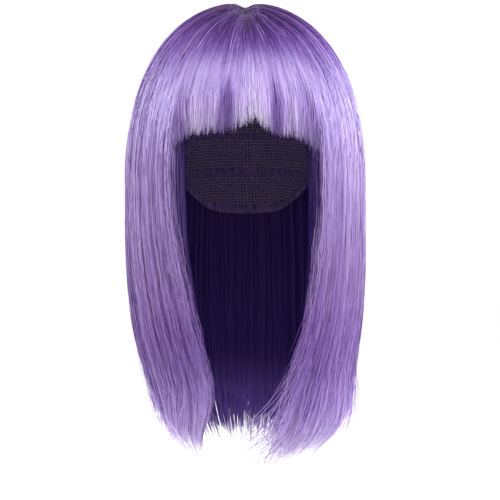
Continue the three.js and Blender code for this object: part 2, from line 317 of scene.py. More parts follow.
def grid_mesh(name, outer, inner, spread, ring=False):
    """A closed wall between two grids of points, rows from the top down. spread maps the wall flat, in
    metres, and has a column more than the points where they close in a ring."""
    rows, columns = outer.shape[:2]
    wide = columns + 1 if ring else columns
    cell = np.arange(rows * wide).reshape(rows, wide)
    face = np.stack([cell[:-1, :-1], cell[1:, :-1], cell[1:, 1:], cell[:-1, 1:]], -1).reshape(-1, 4)
    layer = rows * wide
    parts = [face, face[:, ::-1] + layer]
    edges = [(cell[0], -1), (cell[-1], 1)]
    if not ring:
        edges += [(cell[:, 0], 1), (cell[:, -1], -1)]
    for line, way in edges:
        strip = np.stack([line[:-1], line[1:], line[1:] + layer, line[:-1] + layer], -1)
        parts.append(strip if way < 0 else strip[:, ::-1])
    quads = np.concatenate(parts)
    side, flat = np.divmod(quads, layer)
    row, column = np.divmod(flat, wide)
    corners = side * rows * columns + row * columns + column % columns
    points = np.concatenate([outer.reshape(-1, 3), inner.reshape(-1, 3)])
    mesh = bpy.data.meshes.new(name)
    mesh.from_pydata((points * MM).tolist(), [], corners.tolist())
    mesh.polygons.foreach_set("use_smooth", np.ones(len(mesh.polygons), bool))
    layout = mesh.uv_layers.new(name="flat")
    layout.data.foreach_set("uv", spread.reshape(-1, 2)[flat.ravel()].astype(np.float32).ravel())
    mesh.update()
    return mesh


def place(name, mesh, node, materials=()):
    """Puts a finished piece in the scene. It stands for a node of the frame."""
    piece = bpy.data.objects.new(name, mesh)
    bpy.context.scene.collection.objects.link(piece)
    for material in materials:
        mesh.materials.append(material)
    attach(piece, "root")
    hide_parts(node)


# Materials

# A strand's tint from its darkest tone to its palest. TONE_END is the tone at either end, and SHADE_SWING
# is how far painted light and shade turn the tone along one strand. SHADES_ACROSS keeps neighbours on the
# bake map apart.
TINTS = ((0.0, "#56456a"), (0.25, "#9181a4"), (0.5, "#cdcdcd"), (0.75, "#e3e7dd"), (1.0, "#f7ffe8"))
TINT_GAIN = 1.62
TONE_END = 2.0
SHADE_SWING = 0.8
SHADES_ACROSS = 1400.0

# The cap's net, in meshes to the metre, and its weft rows and the border of its hem, in metres
NET_MESHES = 385.0
WEFT_STEP = 0.016
HEM_BORDER = (0.0068, 0.0074)


def fibre_material(name, stops, deep, turns=36.0):
    """Heat-resistant synthetic hair: smooth nylon-like filaments, drawn straight. The eye sees a silky streak
    along each strand, violet roots, paler tips, and no two strands of quite the same lilac. Part of the
    colour by reach and part of each strand's tone are painted light and shade."""
    material, tree, shader = new_material(name)
    reach, tone, depth = (
        add_node(tree, "ShaderNodeAttribute", attribute_name=key).outputs["Fac"]
        for key in ("reach", "tone", "deep")
    )
    base = colour_ramp(tree, reach, stops)
    # No strand keeps one shade: every 50 mm or so painted light and shade make it a little paler or darker,
    # as if it turned to or from the light.
    own_map = add_node(tree, "ShaderNodeUVMap", uv_map="OFBake").outputs[0]
    painted_swing = noise(
        tree, streaks_map(tree, own_map, SHADES_ACROSS, turns), 1.0, 1.0, noise_dimensions="2D"
    )
    shade = arithmetic(tree, tone, span(tree, painted_swing, first=-SHADE_SWING, last=SHADE_SWING))
    # Dark strands are a deeper violet, not grey, and pale ones lose some violet.
    tint = colour_ramp(tree, span(tree, shade, -TONE_END, TONE_END), TINTS)
    gained = add_node(tree, "ShaderNodeVectorMath", {0: tint, "Scale": TINT_GAIN}, operation="SCALE")
    toned = add_node(tree, "ShaderNodeVectorMath", {0: base, 1: gained.outputs[0]}, operation="MULTIPLY")
    # Strands that lie deeper take on the deep colour: partly a deeper violet and partly painted shade inside
    # the mass of hair.
    colour = mix_colours(tree, span(tree, depth, 0.15, 0.95), toned.outputs[0], linear(deep))
    tree.links.new(colour, shader.inputs["Base Color"])
    # The roots are rougher than the rest.
    tree.links.new(span(tree, reach, 0.0, 0.35, 0.68, 0.44), shader.inputs["Roughness"])
    shader.inputs["IOR"].default_value = 1.5
    shader.inputs["Specular IOR Level"].default_value = 0.2
    shader.inputs["Specular Tint"].default_value = linear("#d6c2f6")
    return material


# The fibre's colours by reach: 0 at the roots, 0.5 at the widest level and 1 at the tips. The dark ring
# at 0.04 to 0.17 is partly the roots' violet and partly painted shade, and the pale band at 0.31 to 0.38
# is a painted highlight.
OUTER_STOPS = (
    (0.0, "#6c5487"),
    (0.04, "#61477f"),
    (0.11, "#593a7c"),
    (0.17, "#7852a2"),
    (0.23, "#9a78c6"),
    (0.31, "#beaae4"),
    (0.38, "#c1afe7"),
    (0.48, "#b098cf"),
    (0.58, "#9c83bd"),
    (0.68, "#9074b0"),
    (0.78, "#8667ab"),
    (0.83, "#8b6eb0"),
    (0.88, "#a085c6"),
    (0.94, "#baa3da"),
    (1.0, "#e3d9f3"),
)
# In the bangs the reach runs to each strand's own tip. The dark ring at 0.16 to 0.42 is partly the
# roots' violet and partly painted shade, and the pale band at 0.58 to 0.87 is a painted highlight.
BANGS_STOPS = (
    (0.0, "#6c5487"),
    (0.07, "#563c76"),
    (0.16, "#381b5b"),
    (0.24, "#3b1f5e"),
    (0.34, "#4c2c76"),
    (0.42, "#5e4291"),
    (0.5, "#8467b1"),
    (0.58, "#a68fcd"),
    (0.66, "#b7a1dc"),
    (0.76, "#bda9e2"),
    (0.87, "#c3ace3"),
    (1.0, "#e0d3f4"),
)
# The inner strands' dark violets are painted shade on the hair's inner side.
INNER_STOPS = ((0.0, "#2a1750"), (0.6, "#4a2f86"), (1.0, "#7d5fbc"))
outer_fibre = fibre_material("lilac_synthetic_fibre", OUTER_STOPS, "#3c2468")
bangs_fibre = fibre_material("lilac_bangs_fibre", BANGS_STOPS, "#40276c", turns=14.0)
inner_fibre = fibre_material("shaded_violet_inner_fibre", INNER_STOPS, "#2c1a5a")


def under_hair_material():
    """The mass of fibre under the top strands: the same filament packed close, so little light comes back.
    Its dark violets are painted shade.
    """
    material, tree, shader = new_material("shaded_violet_under_hair")
    spot = add_node(tree, "ShaderNodeUVMap", uv_map="flat").outputs[0]
    # Packed strands show as streaks about 1.5 mm wide, which run far along the hair.
    streaks = noise(tree, streaks_map(tree, spot, 700.0, 14.0), 1.0, 3.0)
    # These dark violets are painted shade.
    colour = colour_ramp(tree, streaks, ((0.3, "#22134a"), (0.5, "#3d2570"), (0.72, "#6244a0")))
    tree.links.new(colour, shader.inputs["Base Color"])
    raise_surface(tree, shader, streaks, 0.6, 0.001)
    shader.inputs["Roughness"].default_value = 0.55
    return material


def cap_material():
    """Stretch net with wefts: matt polyester threads, machine-sewn weft rows that show as smoother, ribbed
    bands every 16 mm, and a turned-in hem 7 mm wide along the edge."""
    material, tree, shader = new_material("stretch_net_cap")
    spot = add_node(tree, "ShaderNodeUVMap", uv_map="flat").outputs[0]
    # The real mesh is about 1.2 mm, drawn here at 2.6 mm because it is too fine to show.
    threads = add_node(
        tree,
        "ShaderNodeTexVoronoi",
        {"Vector": spot, "Scale": NET_MESHES, "Randomness": 0.55},
        feature="DISTANCE_TO_EDGE",
        voronoi_dimensions="2D",
    )
    net = span(tree, threads.outputs["Distance"], 0.05, 0.2)
    rows = add_node(tree, "ShaderNodeSeparateXYZ", {0: spot})
    turn = arithmetic(tree, rows.outputs[1], 1 / WEFT_STEP, "MULTIPLY")
    weft = span(tree, arithmetic(tree, turn, 1.0, "PINGPONG"), 0.78, 0.84)
    to_edge = add_node(tree, "ShaderNodeAttribute", attribute_name="to_edge").outputs["Fac"]
    hem = arithmetic(tree, 1.0, span(tree, to_edge, *HEM_BORDER), "SUBTRACT")
    band = arithmetic(tree, weft, hem, "MAXIMUM")
    stitch = noise(tree, streaks_map(tree, spot, 420.0, 90.0), 1.0, 2.0)
    woven = mix_colours(tree, net, linear("#8a77ab"), linear("#261a3b"))
    sewn = colour_ramp(tree, stitch, ((0.35, "#3b2a5c"), (0.65, "#6a558f")))
    tree.links.new(mix_colours(tree, band, woven, sewn), shader.inputs["Base Color"])
    raise_surface(tree, shader, arithmetic(tree, net, band, "SUBTRACT"), 0.7, 0.0006, invert=True)
    shader.inputs["Roughness"].default_value = 0.85
    return material


def scalp_material():
    """False scalp: thin knit coated with matt silicone, tinted grey-mauve by the fibre that is knotted into
    it, with a dark dot where each tuft comes through."""
    material, tree, shader = new_material("coated_false_scalp")
    spot = add_node(tree, "ShaderNodeTexCoord").outputs["Object"]
    knots = add_node(tree, "ShaderNodeTexVoronoi", {"Vector": spot, "Scale": 720.0, "Randomness": 0.5})
    dots = span(tree, knots.outputs["Distance"], 0.14, 0.34)
    mottle = noise(tree, spot, 160.0, 4.0)
    skin = colour_ramp(tree, mottle, ((0.3, "#5c4a69"), (0.7, "#7a6883")))
    tree.links.new(mix_colours(tree, dots, linear("#38264f"), skin), shader.inputs["Base Color"])
    raise_surface(tree, shader, dots, 0.4, 0.0004)
    shader.inputs["Roughness"].default_value = 0.7
    return material


under_hair = under_hair_material()


# Strands

# Across the bangs, 0 to 1: where they thin out, as (place, width), and where the tips clump darker or paler,
# as (place, width, change of tone)
THIN_FRINGE = (0.56, 0.05)
CLUMPS = (
    (0.04, 0.05, -0.6),
    (0.385, 0.045, -1.5),
    (0.46, 0.04, 0.3),
    (0.56, 0.05, 0.8),
    (0.68, 0.045, -1.3),
    (0.94, 0.07, -0.7),
)

# Shares of a section's breadth: how far strands stray, sway and wave, mingle with the next section's and
# lean in at the first corner of the bangs, and how wide a curtain's edge is
STRAY, SWAY, WAVE = 0.005, 0.02, 0.003
MINGLE, CORNER_LEAN, EDGE_WIDTH = 0.025, 0.015, 0.012

# Shares of the hair's thickness: the furrows between locks and tufts, how unevenly locks and tufts lie, and
# what is left of a strand's depth at the tips
LOCK_FURROW, TUFT_FURROW = 0.28, 0.07
LOCK_DEPTH, TUFT_DEPTH, TIP_DEPTH = 0.05, 0.03, 0.4

# Shares of the strands: on a curtain's edge, straying far, and pale at the roots
EDGE_STRANDS, WILD_STRANDS, PALE_ROOTS = 0.1, 0.08, 0.25

# How rounded the locks and tufts are at the back, where 1 is the most
BACK_RIBS = 0.3

# In millimetres: how far inside the parting's rim roots begin, how far the bangs' longest tips pass their
# table, and how much shorter the bangs are, at most, where they thin out
ROOT_INSET = 5.8
BANGS_BEYOND = 7
THIN_SPOT_RISE = 11

# A ribbon's turn at the border of its tuft, in degrees, and the width of its tip, as a share
TUFT_ROUND = 24
TIP_TAPER = 0.22

# The crimp of loose strands, in millimetres: wave length and size. A side section is about SIDE_BREADTH
# across, and CRIMP_DEPTH is the share of the hair's thickness that goes with a millimetre.
CRIMPS = ((11, 0.45), (19, 1.0), (47, 2.2))
SIDE_BREADTH = 130
CRIMP_DEPTH = 0.02

# Changes of tone: a tuft's own, painted shade at the borders of tufts and locks, painted light from the
# wearer's left and right, and painted shade at the corners of the bangs and on the fronts of the curtains
# below
OWN_TONE, TUFT_BORDER_SHADE, LOCK_BORDER_SHADE = 0.3, 0.5, 0.4
LEFT_LIGHT, RIGHT_LIGHT, CORNER_SHADE = 0.5, 0.4, 0.4
LEFT_SHADE, RIGHT_SHADE = 0.1, 0.3

# Widths of ribbons, in millimetres
FINE_RIBBON, INNER_RIBBON, BANGS_RIBBON = 0.42, 1.3, 0.62


def strand_tree():
    """Geometry nodes that widen each path of a strand into a flat fibre ribbon."""
    tree = bpy.data.node_groups.new("strand_ribbons", "GeometryNodeTree")
    for name, kind in (("Paths", "Geometry"), ("Ribbon width", "Float"), ("Fibre", "Material")):
        tree.interface.new_socket(name, in_out="INPUT", socket_type="NodeSocket" + kind)
    tree.interface.new_socket("Ribbons", in_out="OUTPUT", socket_type="NodeSocketGeometry")
    paths, width, fibre = add_node(tree, "NodeGroupInput").outputs[:3]

    def read(name, kind):
        given = {"Name": name}
        return add_node(tree, "GeometryNodeInputNamedAttribute", given, data_type=kind).outputs[0]

    def scaled(vector, scale):
        given = {0: vector, "Scale": scale}
        return add_node(tree, "ShaderNodeVectorMath", given, operation="SCALE").outputs[0]

    def store(inputs, kind, domain):
        named = "GeometryNodeStoreNamedAttribute"
        return add_node(tree, named, inputs, data_type=kind, domain=domain).outputs[0]

    breadth = scaled(read("across", "FLOAT_VECTOR"), width)
    moved = add_node(tree, "GeometryNodeSetPosition", {"Geometry": paths, "Offset": scaled(breadth, -0.5)})
    ribbons = add_node(
        tree, "GeometryNodeExtrudeMesh", {"Mesh": moved.outputs[0], "Offset": breadth}, mode="EDGES"
    )
    edge = {
        "Geometry": ribbons.outputs["Mesh"], "Selection": ribbons.outputs["Top"], "Name": "far", "Value": 1.0,
    }
    marked = store(edge, "FLOAT", "POINT")
    # Every strand has a narrow column of the map for itself, so its tone stays its own when it is baked.
    column = add_node(tree, "ShaderNodeSeparateXYZ", {0: read("patch", "FLOAT_VECTOR")})
    shift = arithmetic(tree, read("far", "FLOAT"), column.outputs[2], "MULTIPLY")
    map_x = arithmetic(tree, column.outputs[0], shift)
    corner = add_node(tree, "ShaderNodeCombineXYZ", {0: map_x, 1: column.outputs[1]})
    mapped = store({"Geometry": marked, "Name": "OFBake", "Value": corner.outputs[0]}, "FLOAT2", "CORNER")
    whole = add_node(tree, "GeometryNodeRealizeInstances", {"Geometry": mapped})
    rounded = add_node(tree, "GeometryNodeSetShadeSmooth", {"Geometry": whole.outputs[0]})
    finish = add_node(
        tree, "GeometryNodeSetMaterial", {"Geometry": rounded.outputs[0], "Material": fibre}
    )
    end = add_node(tree, "NodeGroupOutput")
    tree.links.new(finish.outputs[0], end.inputs[0])
    return tree


ribbon_tree = strand_tree()


def set_input(modifier, name, value):
    for item in modifier.node_group.interface.items_tree:
        if item.name == name and item.in_out == "INPUT":
            modifier[item.identifier] = value


def ribbon_mesh(name, points, across, values, width, material):
    """Turns paths (strand, step, xyz) in millimetres into ribbons. across is each point's sideways reach as a
    share of the width, and values are the numbers that the fibre's material reads."""
    strands, steps = points.shape[:2]
    index = np.arange(strands * steps).reshape(strands, steps)
    edges = np.stack([index[:, :-1], index[:, 1:]], -1).reshape(-1, 2)
    paths = bpy.data.meshes.new(name + "_paths")
    paths.vertices.add(strands * steps)
    paths.vertices.foreach_set("co", (points * MM).astype(np.float32).ravel())
    paths.edges.add(len(edges))
    paths.edges.foreach_set("vertices", edges.astype(np.int32).ravel())
    sideways = paths.attributes.new("across", "FLOAT_VECTOR", "POINT")
    sideways.data.foreach_set("vector", across.astype(np.float32).ravel())
    # The map has bands of columns, a column to a strand: its corner, and how wide the strand is there.
    bands, margin = 4, 0.1
    columns = -(-strands // bands)
    place_in_map = np.zeros((strands, steps, 3))
    number = np.arange(strands)
    place_in_map[..., 0] = ((number % columns + margin) / columns)[:, None]
    place_in_map[..., 1] = ((number // columns)[:, None] + np.linspace(0.01, 0.99, steps)) / bands
    place_in_map[..., 2] = (1 - 2 * margin) / columns
    patch = paths.attributes.new("patch", "FLOAT_VECTOR", "POINT")
    patch.data.foreach_set("vector", place_in_map.astype(np.float32).ravel())
    for key, value in values.items():
        spread = np.broadcast_to(value, (strands, steps)).astype(np.float32)
        paths.attributes.new(key, "FLOAT", "POINT").data.foreach_set("value", spread.ravel())
    carrier = bpy.data.objects.new(name + "_paths", paths)
    bpy.context.scene.collection.objects.link(carrier)
    modifier = carrier.modifiers.new("ribbons", "NODES")
    modifier.node_group = ribbon_tree
    set_input(modifier, "Ribbon width", width * MM)
    set_input(modifier, "Fibre", material)
    graph = bpy.context.evaluated_depsgraph_get()
    made = bpy.data.meshes.new_from_object(carrier.evaluated_get(graph), depsgraph=graph)
    bpy.data.objects.remove(carrier)
    bpy.data.meshes.remove(paths)
    made.name = name
    for spare in ("across", "patch", "far"):
        made.attributes.remove(made.attributes[spare])
    return made


def lay_strands(rng, section, count, steps, depths, starts, tips, locks, tufts, clump, ribs):
    """Paths of strands in one section of the hair. depths and starts are ranges that the strands begin in,
    and tips is the longest reach at each end of the section and how far the tips vary. The section splits
    into locks, and these into tufts that draw together, as rounded as ribs says."""
    own = (np.arange(count) + rng.random(count)) / count
    rng.shuffle(own)
    t = np.linspace(0, 1, steps)
    t = mix(t, smooth(t, 0, 1), 0.7)[None, :] ** (0.8 + 0.4 * rng.random(count))[:, None]

    lock = np.floor(own * locks).astype(int)
    lock_place = 2 * (own * locks - lock) - 1
    lie = rng.random(locks + 1)[lock]
    sheaf = np.arange(1, locks * tufts) + 0.9 * (rng.random(locks * tufts - 1) - 0.5)
    borders = np.concatenate([[0], sheaf / (locks * tufts), [1]])
    tuft = np.searchsorted(borders[1:-1], own)
    middle = (borders[tuft] + borders[tuft + 1]) / 2
    tuft_place = 2 * (own - middle) / (borders[tuft + 1] - borders[tuft])
    tuft_lie = rng.random(locks * tufts)[tuft]

    depth_own = depths[0] + (depths[1] - depths[0]) * rng.random(count) ** 1.6
    start = starts[0] + (starts[1] - starts[0]) * np.maximum(rng.random(count) * 1.5 - 0.5, 0)
    short = tips[2] * (0.85 * rng.random(count) ** 0.5 + 0.15 * tuft_lie)
    root = np.where(start > starts[0], 0.0, ROOT_INSET * rng.random(count))[:, None]

    if section == "bangs":
        bearing = section_bearing("bangs", own, 0.0)
        short = short * mix(1.0, 0.4, smooth(np.abs(2 * own - 1), 0.8, 1.0))
        thin = np.exp(-(((own - THIN_FRINGE[0]) / THIN_FRINGE[1]) ** 2)) * (rng.random(count) < 0.6)
        longest = read_table(BANGS_ROWS, 1, 2 * own - 1) * BANGS_LENGTH + BANGS_BEYOND
        reach = longest - short - thin * THIN_SPOT_RISE * rng.random(count)
        end = share_at_height(bearing, OUTSIDE["rise"] - CROWN_TO_WIDEST - reach)
    else:
        end = 1 + mix(tips[0], tips[1], own) - short
    along = start[:, None] + (end - start)[:, None] * t

    pull = (clump * (0.4 + 1.2 * rng.random(count)))[:, None] * smooth(t, 0.15, 1.0)
    sway = ((lie - 0.5) * SWAY)[:, None] * np.sin(2.1 * math.pi * t + 5 * tuft_lie[:, None])
    phase = rng.random(count)[:, None]
    wild = STRAY * rng.standard_normal(count) * np.where(rng.random(count) < WILD_STRANDS, 3.5, 1)
    loose = wild[:, None] * np.sin(math.pi * (t * (1 + phase) + 2 * phase)) * t
    calm = 1 - np.abs(2 * own[:, None] - 1) ** 4
    turns = (2.2 + 2.6 * rng.random(locks * tufts))[tuft][:, None]
    wave = WAVE * np.sin(2 * math.pi * (turns * t + tuft_lie[:, None])) * smooth(t, 0.35, 0.7)
    if section == "bangs":
        wave = wave * 0.5
    across = own[:, None] + (middle - own)[:, None] * pull + (sway * t + wave) * calm + loose
    if section == "bangs":
        lean = CORNER_LEAN * np.clip(1 - own / 0.3, 0, 1)
        across = across + lean[:, None] * smooth(t, 0.55, 1.0)
    # Where two sections meet at the back, their strands mingle.
    meets_first, meets_last = section in ("right", "back"), section in ("left", "back")
    border = smooth(0.06 - own, 0, 0.04) * meets_first + smooth(own - 0.94, 0, 0.04) * meets_last
    across = across + (MINGLE * border * rng.standard_normal(count))[:, None] * smooth(t, 0.1, 0.4)
    across = np.clip(across, -0.05 if meets_first else -0.015, 1.05 if meets_last else 1.015)

    bearings = section_bearing(section, across, np.maximum(along - 1, 0))
    # Neighbouring sections meet without a furrow.
    seam = 1 - smooth(np.abs(2 * own - 1), 0.88, 0.99)
    if section in ("left", "right"):
        back_end = 1 - own if section == "left" else own
        ribs = mix(BACK_RIBS, ribs, smooth(back_end, 0.0, 0.3))
    groove = (LOCK_FURROW * np.abs(lock_place) ** 3 * seam + TUFT_FURROW * np.abs(tuft_place) ** 3) * ribs
    lower = groove + LOCK_DEPTH * lie + TUFT_DEPTH * ribs * tuft_lie
    sink = depth_own[:, None] + lower[:, None] * smooth(along, 0.1, 0.5)
    if section in ("left", "right"):
        # Some strands line the curtain's edge at the opening, from its outer side to its inner one.
        edge = rng.random(count) < EDGE_STRANDS
        side = EDGE_WIDTH * rng.random(count) - EDGE_WIDTH
        side = side if section == "left" else 1 - side
        hang = smooth(along, 0.6, 0.9) * edge[:, None]
        across = mix(across, side[:, None] * np.ones_like(across), hang)
        bearings = section_bearing(section, across, np.maximum(along - 1, 0))
        sink = mix(sink, 0.05 + 0.85 * rng.random(count)[:, None] * np.ones_like(sink), hang)
    # At the roots the hair is parted finer than into tufts, and some of these parts are pale.
    parts = locks * tufts * 2.4
    parted = rng.random(int(parts) + 1)[(own * parts).astype(int)]
    rooted = np.where(parted < PALE_ROOTS, 1.8, 1.8 * (parted - 0.8))
    rise = 0.5 * (start > starts[0])[:, None] * (1 - smooth(t, 0, 0.16))
    # The curtains thin out towards their tips.
    depth = np.clip(sink + rise, -0.2, 0.97) * mix(1.0, TIP_DEPTH, smooth(along, 1.6, 1.9))
    if section == "bangs":
        depth = depth + 0.3 * smooth(t, 0.6, 1.0) * (1 - depth) * seam[:, None]
    return {
        "points": hair_point(bearings, along, depth, root),
        "bearings": bearings,
        "along": along,
        "depth": depth,
        "root": root,
        "t": t,
        "own": own,
        "lie": lie,
        "rooted": rooted + 0.5 * rng.standard_normal(count),
        "tuft_lie": tuft_lie,
        "tuft_place": tuft_place,
        "lock_place": lock_place * seam,
        "lift": 0.0,
        "seam": seam,
        "ribs": ribs,
    }


def lay_loose(rng, section, steps, count, begins, ends, places, drift, depths, crimp, flare=0.0):
    """Paths of loose, crimped strands. begins and ends are ranges of along, places is the range across the
    section, drift is how far across, at most, a strand leaves its place, each towards its own tip, and flare
    is how far a tip stands off, as a share of the hair's thickness there."""
    def spread_out(low, high):
        return (low + (high - low) * rng.random(count))[:, None]

    t = np.linspace(0, 1, steps)[None, :]
    begin, end = spread_out(*begins), spread_out(*ends)
    along = begin + (end - begin) * t
    length = (end - begin) * FALL_LENGTH
    bends = [np.zeros_like(along), np.zeros_like(along)]
    for wave_length, size in CRIMPS:
        turns = length / (wave_length * spread_out(0.75, 1.3))
        for way in range(2):
            bend = size * spread_out(0.4, 1.0)
            bends[way] = bends[way] + bend * np.sin(2 * math.pi * (turns * t + spread_out(0, 1)))
    free = smooth(t, 0.0, 0.12)
    breadth = SIDE_BREADTH * (2 if section == "back" else 1)
    across = spread_out(*places) + drift * spread_out(0, 1) ** 2 * t ** spread_out(1.8, 3.5)
    across = across + crimp * bends[0] * free / breadth
    depth = spread_out(*depths) + CRIMP_DEPTH * crimp * bends[1] * free
    depth = depth - flare * spread_out(0, 1) * t ** 3
    bearings = section_bearing(section, across, np.maximum(along - 1, 0))
    flat = np.zeros(count)
    return {
        "points": hair_point(bearings, along, depth, 0.0),
        "bearings": bearings,
        "along": along,
        "depth": depth,
        "root": 0.0,
        "t": t * np.ones_like(along),
        "lie": rng.random(count),
        "rooted": np.where(rng.random(count) < 0.65, 1.5, -1.0),
        "tuft_lie": rng.random(count),
        "tuft_place": flat,
        "lock_place": flat,
        "lift": (0.1 * rng.random(count) * (rng.random(count) < 0.4))[:, None],
        "seam": 1.0,
        "ribs": 0.0,
    }


def face_out(rng, strands, tilt):
    """Sideways reach of each point of a strand: flat on its tuft, turned a little about its own length."""
    points, ribs = strands["points"], strands["ribs"]
    tangent = np.gradient(points, axis=1)
    tangent /= np.linalg.norm(tangent, axis=-1, keepdims=True) + 1e-9
    before, after = (
        hair_point(strands["bearings"] + nudge, strands["along"], strands["depth"], strands["root"])
        for nudge in (-0.004, 0.004)
    )
    sideways = after - before
    sideways -= tangent * (sideways * tangent).sum(-1, keepdims=True)
    sideways /= np.linalg.norm(sideways, axis=-1, keepdims=True) + 1e-9
    outward = np.cross(tangent, sideways)
    round_tuft = TUFT_ROUND * ribs * strands["tuft_place"] * np.abs(strands["tuft_place"])
    round_tuft = round_tuft + TUFT_ROUND * ribs * strands["lock_place"] ** 3
    turn = np.radians(tilt * rng.standard_normal(len(points)) - round_tuft)[:, None, None]
    across = sideways * np.cos(turn) + outward * np.sin(turn)
    t = strands["t"][..., None]
    width = (0.7 + 0.6 * rng.random(len(points)))[:, None, None]
    narrow = mix(1.0, TIP_TAPER, smooth(t, 0.78, 1.0)) * mix(0.7, 1.0, smooth(t, 0, 0.12))
    return across * width * narrow


def strand_values(rng, strands, lively):
    """The numbers that the fibre's material reads: how pale a strand is, how far along, and how deep."""
    along, bearings = strands["along"], strands["bearings"]
    tone = lively * rng.standard_normal(len(along))
    tone = tone + OWN_TONE * strands["seam"] * (strands["tuft_lie"] + strands["lie"] - 1)
    # Painted shade darkens the borders of tufts and locks.
    tone = tone - TUFT_BORDER_SHADE * strands["ribs"] * np.abs(strands["tuft_place"]) ** 6
    tone = tone - LOCK_BORDER_SHADE * np.abs(strands["lock_place"]) ** 6
    # Near the roots the tufts part into light and dark ones.
    tone = mix(strands["rooted"][:, None], tone[:, None], smooth(along, 0.14, 0.45))
    # Painted light: the sides are painted paler than the front, as they catch more light. Painted shade
    # darkens the strands beside the corners of the bangs.
    turn = np.abs(np.sin(bearings)) ** 4
    front = np.cos(bearings)
    on_left = np.sin(bearings) > 0
    lit = np.where(
        on_left, LEFT_LIGHT * smooth(along, 0.5, 0.9), RIGHT_LIGHT * smooth(along, 0.95, 1.2)
    )
    tone = tone + lit * turn * smooth(front, -0.25, 0.1)
    corner = smooth(front, 0.52, 0.72) * smooth(along, 0.7, 0.85) * (1 - smooth(along, 1.0, 1.25))
    tone = tone - CORNER_SHADE * corner
    # Below, the fronts of the curtains turn from the light: painted shade darkens them.
    low_front = smooth(along, 1.6, 1.7) * (1 - smooth(along, 1.82, 1.9))
    left_front = on_left * (smooth(along, 1.05, 1.3) + 2.5 * low_front)
    right_front = ~on_left * smooth(along, 1.4, 1.55) * (1 - smooth(along, 1.62, 1.75))
    tone = tone - (LEFT_SHADE * left_front + RIGHT_SHADE * right_front) * smooth(front, 0.5, 0.8)
    # Pale single hairs cross the darker roots.
    reach = along / 2 + strands["lift"] * (1 - smooth(along, 0.3, 0.7))
    return {"tone": tone, "reach": reach, "deep": np.clip(strands["depth"], 0, 1)}


def bangs_values(rng, strands, lively):
    """The bangs' own reach runs to their tips, and near the tips some clumps are darker or paler."""
    values = strand_values(rng, strands, lively)
    values["reach"] = strands["along"] / strands["along"][:, -1:]
    for place_across, width, change in CLUMPS:
        near = np.exp(-(((strands["own"] - place_across) / width) ** 2))[:, None]
        values["tone"] = values["tone"] + change * near * smooth(values["reach"], 0.6, 0.86)
    return values


def strands_piece(name, node, seed, width, material, tilt=15.0, lively=0.4, loose=(), **how):
    """One piece of strands: the groups of loose strands where some are given, or else the main strands."""
    rng = np.random.default_rng(seed)
    if loose:
        groups = [lay_loose(rng, how["section"], how["steps"], *group) for group in loose]
    else:
        groups = [lay_strands(rng, **how)]
    strands = {
        key: np.concatenate([group[key] for group in groups]) if np.ndim(first) else first
        for key, first in groups[0].items()
    }
    # The ribbons face away from the mass of the hair: out, and on its inner side towards the cap.
    across = face_out(rng, strands, tilt) * (1 if material == inner_fibre else -1)
    read_values = bangs_values if how["section"] == "bangs" and not loose else strand_values
    values = read_values(rng, strands, lively)
    mesh = ribbon_mesh(name, strands["points"], across, values, width, material)
    place(name, mesh, node)


def under_piece(name, node, section, columns, reach, locks):
    """The mass of hair under the strands: a closed wall with a furrow between its locks and ragged tips."""
    rows = 40
    # Depths in the hair: the wall's outer face, its furrows, and its inner face above and at the tips
    outer_face, furrows, inner_face, inner_tips = 0.28, 0.12, 0.9, 0.5
    across = np.linspace(0, 1, columns)[None, :]
    t = np.linspace(0, 1, rows)[:, None]
    if section == "bangs":
        bearing = section_bearing("bangs", across, 0.0)
        corner = smooth(np.abs(2 * across - 1), 0.8, 0.98)
        low = read_table(BANGS_ROWS, 1, 2 * across - 1) * BANGS_LENGTH * mix(reach, 0.96, corner)
        end = share_at_height(bearing, OUTSIDE["rise"] - CROWN_TO_WIDEST - low)
    else:
        end = 1 + reach
    ragged = 0.02 * np.sin(across * locks * 34) + 0.012 * np.sin(across * locks * 81 + 1)
    along = (0.01 + (end + ragged - 0.01) * t) * np.ones_like(across)
    down = np.maximum(along - 1, 0)
    bearing = section_bearing(section, across, down) * np.ones_like(along)
    furrow = np.abs(np.cos(math.pi * across * locks)) ** 3 * smooth(along, 0.1, 0.6)
    outer = hair_point(bearing, along, outer_face + furrows * furrow)
    inner = hair_point(bearing, along, mix(inner_face, inner_tips, smooth(t, 0.8, 1.0)))
    girth = (OUTSIDE["left"] + OUTSIDE["front"]) / 2
    spread = np.stack([bearing * girth * MM, along * FALL_LENGTH * MM], axis=-1)
    mesh = grid_mesh(name, outer, inner, spread)
    place(name, mesh, node, (under_hair,))


# The sections of the fall: the node that each dresses, the longest reach at each end, a seed, how far the
# tones differ, how ribbed the hair is, how many locks and strands it has, a ribbon's width in millimetres,
# and the columns of the under hair
SECTIONS = {
    "left": {
        "node": "left_side_hair", "ends": (1.03, 1.0), "seed": 11, "lively": 0.13, "ribs": 0.12,
        "locks": 7, "count": 4400, "inner_count": 1100, "width": 0.68, "columns": 60,
    },
    "back": {
        "node": "back_hair", "ends": (1.0, 0.985), "seed": 23, "lively": 0.3, "ribs": BACK_RIBS,
        "locks": 13, "count": 5000, "inner_count": 1980, "width": 0.85, "columns": 108,
    },
    "right": {
        "node": "right_side_hair", "ends": (0.93, 1.0), "seed": 37, "lively": 0.5, "ribs": 0.45,
        "locks": 7, "count": 4400, "inner_count": 1100, "width": 0.68, "columns": 60,
    },
}

